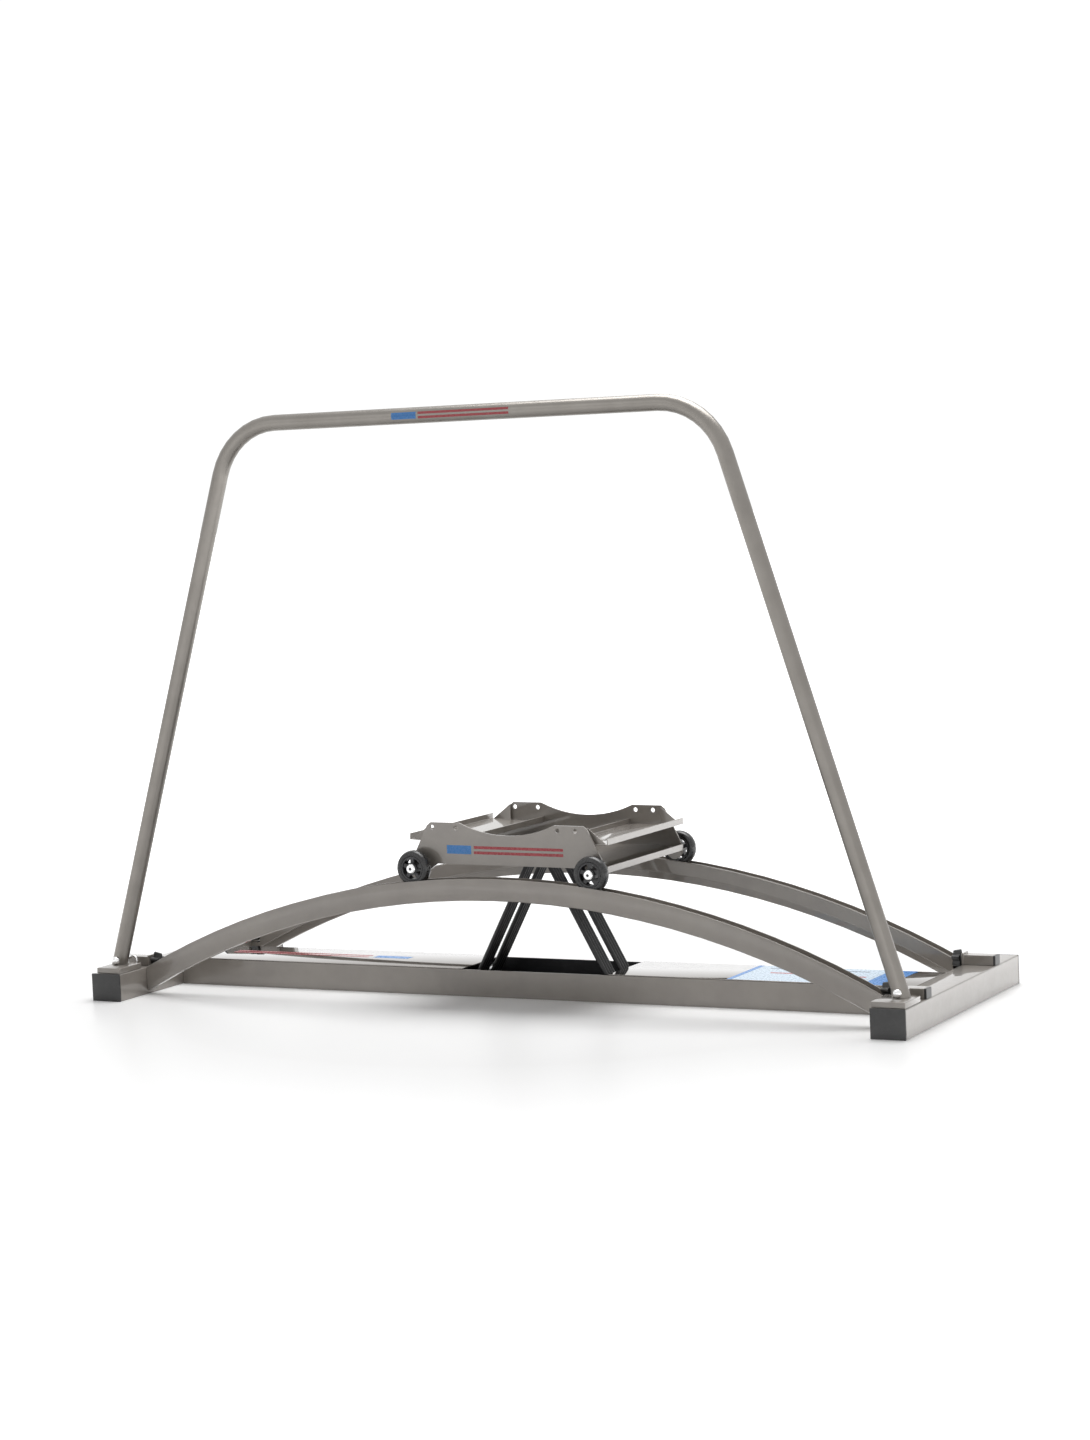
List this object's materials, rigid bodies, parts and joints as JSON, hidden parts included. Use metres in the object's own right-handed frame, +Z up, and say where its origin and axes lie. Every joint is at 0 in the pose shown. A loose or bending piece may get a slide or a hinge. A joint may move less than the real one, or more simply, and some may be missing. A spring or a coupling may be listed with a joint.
{
  "type": "ski simulator",
  "caption": "Ski simulator: a wheeled foot carriage on two arched rails, pulled back to the middle by elastic bands, with a removable hand hoop along one side.",
  "frame": {"origin": "middle of the footprint, on the floor", "axes": "+X along the rails, the way the carriage travels; +Y across, away from the hand hoop; +Z up"},
  "size_m": [1.886, 0.663, 1.25],
  "materials": {
    "frame_paint": "warm grey metallic powder coat under lacquer on steel",
    "cover_paint": "glossy lacquered warm grey powder coat on steel cover plates",
    "cap_plastic": "dark grey moulded plastic end cap",
    "liner_plastic": "black moulded plastic lining of the band well",
    "knob_plastic": "black moulded plastic star knob with a steel stud",
    "tyre_urethane": "black cast polyurethane skate wheel tyre",
    "hub_nylon": "dark moulded nylon spoked wheel core",
    "band_rubber": "black extruded elastic rubber cord",
    "bright_steel": "bright zinc and chrome plated steel"
  },
  "bodies": {
    "base": {"crossbar_left": "frame_paint", "crossbar_right": "frame_paint", "crossbar_cap_front_left": "cap_plastic", "crossbar_cap_front_right": "cap_plastic", "crossbar_cap_rear_left": "cap_plastic", "crossbar_cap_rear_right": "cap_plastic", "base_beam": "frame_paint", "beam_cover_left": "cover_paint", "beam_cover_right": "cover_paint", "band_well_liner": "liner_plastic", "rail_front": "frame_paint", "rail_rear": "frame_paint", "clamp_stub_front_left": "frame_paint", "clamp_stub_front_right": "frame_paint", "clamp_stub_rear_left": "frame_paint", "clamp_stub_rear_right": "frame_paint", "stub_cap_front_left": "cap_plastic", "stub_cap_front_right": "cap_plastic", "stub_cap_rear_left": "cap_plastic", "stub_cap_rear_right": "cap_plastic", "hoop_bar": "frame_paint", "hoop_bracket_left": "frame_paint", "hoop_bracket_right": "frame_paint", "hoop_screw_left": "bright_steel", "hoop_screw_right": "bright_steel", "elastic_band_front_left": "band_rubber", "elastic_band_front_right": "band_rubber", "elastic_band_rear_left": "band_rubber", "elastic_band_rear_right": "band_rubber", "roller_axle_left": "bright_steel", "roller_axle_right": "bright_steel", "band_anchor_left": "frame_paint", "band_anchor_right": "frame_paint"},
    "carriage": {"side_plate_front": "frame_paint", "side_plate_rear": "frame_paint", "foot_tray_left": "frame_paint", "foot_tray_right": "frame_paint", "lower_pan": "frame_paint", "band_pull_bar": "frame_paint", "axle_bolt_front_left": "bright_steel", "axle_bolt_front_right": "bright_steel", "axle_bolt_rear_left": "bright_steel", "axle_bolt_rear_right": "bright_steel"},
    "wheel_front_left": {"wheel_tyre_front_left": "tyre_urethane", "wheel_hub_front_left": "hub_nylon"},
    "wheel_front_right": {"wheel_tyre_front_right": "tyre_urethane", "wheel_hub_front_right": "hub_nylon"},
    "wheel_rear_left": {"wheel_tyre_rear_left": "tyre_urethane", "wheel_hub_rear_left": "hub_nylon"},
    "wheel_rear_right": {"wheel_tyre_rear_right": "tyre_urethane", "wheel_hub_rear_right": "hub_nylon"},
    "roller_left": {"band_roller_left": "bright_steel"},
    "roller_right": {"band_roller_right": "bright_steel"},
    "knob_front_left": {"knob_front_left": "knob_plastic"},
    "knob_front_right": {"knob_front_right": "knob_plastic"},
    "knob_rear_left": {"knob_rear_left": "knob_plastic"},
    "knob_rear_right": {"knob_rear_right": "knob_plastic"},
    "pin_left": {"hoop_pin_left": "bright_steel"},
    "pin_right": {"hoop_pin_right": "bright_steel"}
  },
  "joints": [
    {"name": "carriage_roll", "type": "hinge", "parent": "base", "child": "carriage", "pos_m": [0, 0, -1.59519], "axis": [0, 1, 0], "range_deg": [-18, 16.8], "stiffness_Nm_per_rad": 2500, "deforming": ["elastic_band_front_left", "elastic_band_front_right", "elastic_band_rear_left", "elastic_band_rear_right"]},
    {"name": "wheel_roll_front_left", "type": "hinge", "parent": "carriage", "child": "wheel_front_left", "pos_m": [-0.18765, -0.2127, 0.2917], "axis": [0, 1, 0], "range_deg": [-895, 835]},
    {"name": "wheel_roll_front_right", "type": "hinge", "parent": "carriage", "child": "wheel_front_right", "pos_m": [0.22733, -0.2127, 0.28733], "axis": [0, 1, 0], "range_deg": [-895, 835]},
    {"name": "wheel_roll_rear_left", "type": "hinge", "parent": "carriage", "child": "wheel_rear_left", "pos_m": [-0.18765, 0.2127, 0.2917], "axis": [0, 1, 0], "range_deg": [-895, 835]},
    {"name": "wheel_roll_rear_right", "type": "hinge", "parent": "carriage", "child": "wheel_rear_right", "pos_m": [0.22733, 0.2127, 0.28733], "axis": [0, 1, 0], "range_deg": [-895, 835]},
    {"name": "knob_turn_front_left", "type": "hinge", "parent": "base", "child": "knob_front_left", "pos_m": [-0.8702, -0.2, 0.0703], "axis": [1, 0, 0], "continuous": true},
    {"name": "knob_turn_front_right", "type": "hinge", "parent": "base", "child": "knob_front_right", "pos_m": [0.8702, -0.2, 0.0703], "axis": [1, 0, 0], "continuous": true},
    {"name": "knob_turn_rear_left", "type": "hinge", "parent": "base", "child": "knob_rear_left", "pos_m": [-0.8702, 0.2, 0.0703], "axis": [1, 0, 0], "continuous": true},
    {"name": "knob_turn_rear_right", "type": "hinge", "parent": "base", "child": "knob_rear_right", "pos_m": [0.8702, 0.2, 0.0703], "axis": [1, 0, 0], "continuous": true},
    {"name": "roller_turn_left", "type": "hinge", "parent": "base", "child": "roller_left", "pos_m": [-0.15706, 0, 0.0358], "axis": [0, 1, 0], "continuous": true},
    {"name": "roller_turn_right", "type": "hinge", "parent": "base", "child": "roller_right", "pos_m": [0.19706, 0, 0.0358], "axis": [0, 1, 0], "continuous": true},
    {"name": "pin_pull_left", "type": "slide", "parent": "base", "child": "pin_left", "axis": [0, 1, 0], "range_m": [0, 0.012], "stiffness_N_per_m": 800, "springref_m": -0.004},
    {"name": "pin_pull_right", "type": "slide", "parent": "base", "child": "pin_right", "axis": [0, 1, 0], "range_m": [0, 0.012], "stiffness_N_per_m": 800, "springref_m": -0.004}
  ],
  "couplings": [
    {"joint": "wheel_roll_front_left", "follows": "carriage_roll", "ratio": 48.892},
    {"joint": "wheel_roll_front_right", "follows": "carriage_roll", "ratio": 48.892},
    {"joint": "wheel_roll_rear_left", "follows": "carriage_roll", "ratio": 48.892},
    {"joint": "wheel_roll_rear_right", "follows": "carriage_roll", "ratio": 48.892}
  ]
}
